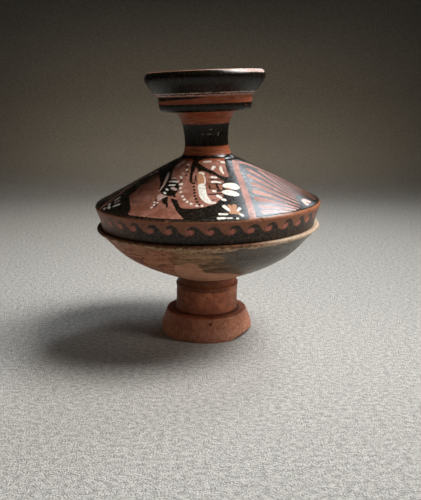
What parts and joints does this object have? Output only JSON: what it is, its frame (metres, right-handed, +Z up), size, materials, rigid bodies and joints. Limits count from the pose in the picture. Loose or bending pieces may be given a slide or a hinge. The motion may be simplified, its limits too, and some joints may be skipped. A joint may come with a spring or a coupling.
{
  "type": "lidded pyxis",
  "caption": "Lidded ceramic pyxis: shallow bowl on a stemmed foot with a seat for its lift-off conical lid, which has a tall neck and flared knob. Painted black, red, white and yellow.",
  "frame": {"origin": "on the plane the foot stands on, under the middle of the lid's widest ring", "axes": "+Z up, -Y towards the front with the painted head, +X to the right of the front"},
  "size_m": [0.14, 0.14, 0.1641],
  "materials": {
    "painted_lid": "satin black gloss with reserved red clay, white and yellow paint, worn",
    "bare_clay": "thin worn brown slip over red-brown clay"
  },
  "bodies": {
    "root": {"bowl": "bare_clay", "lid": "painted_lid"}
  },
  "joints": []
}
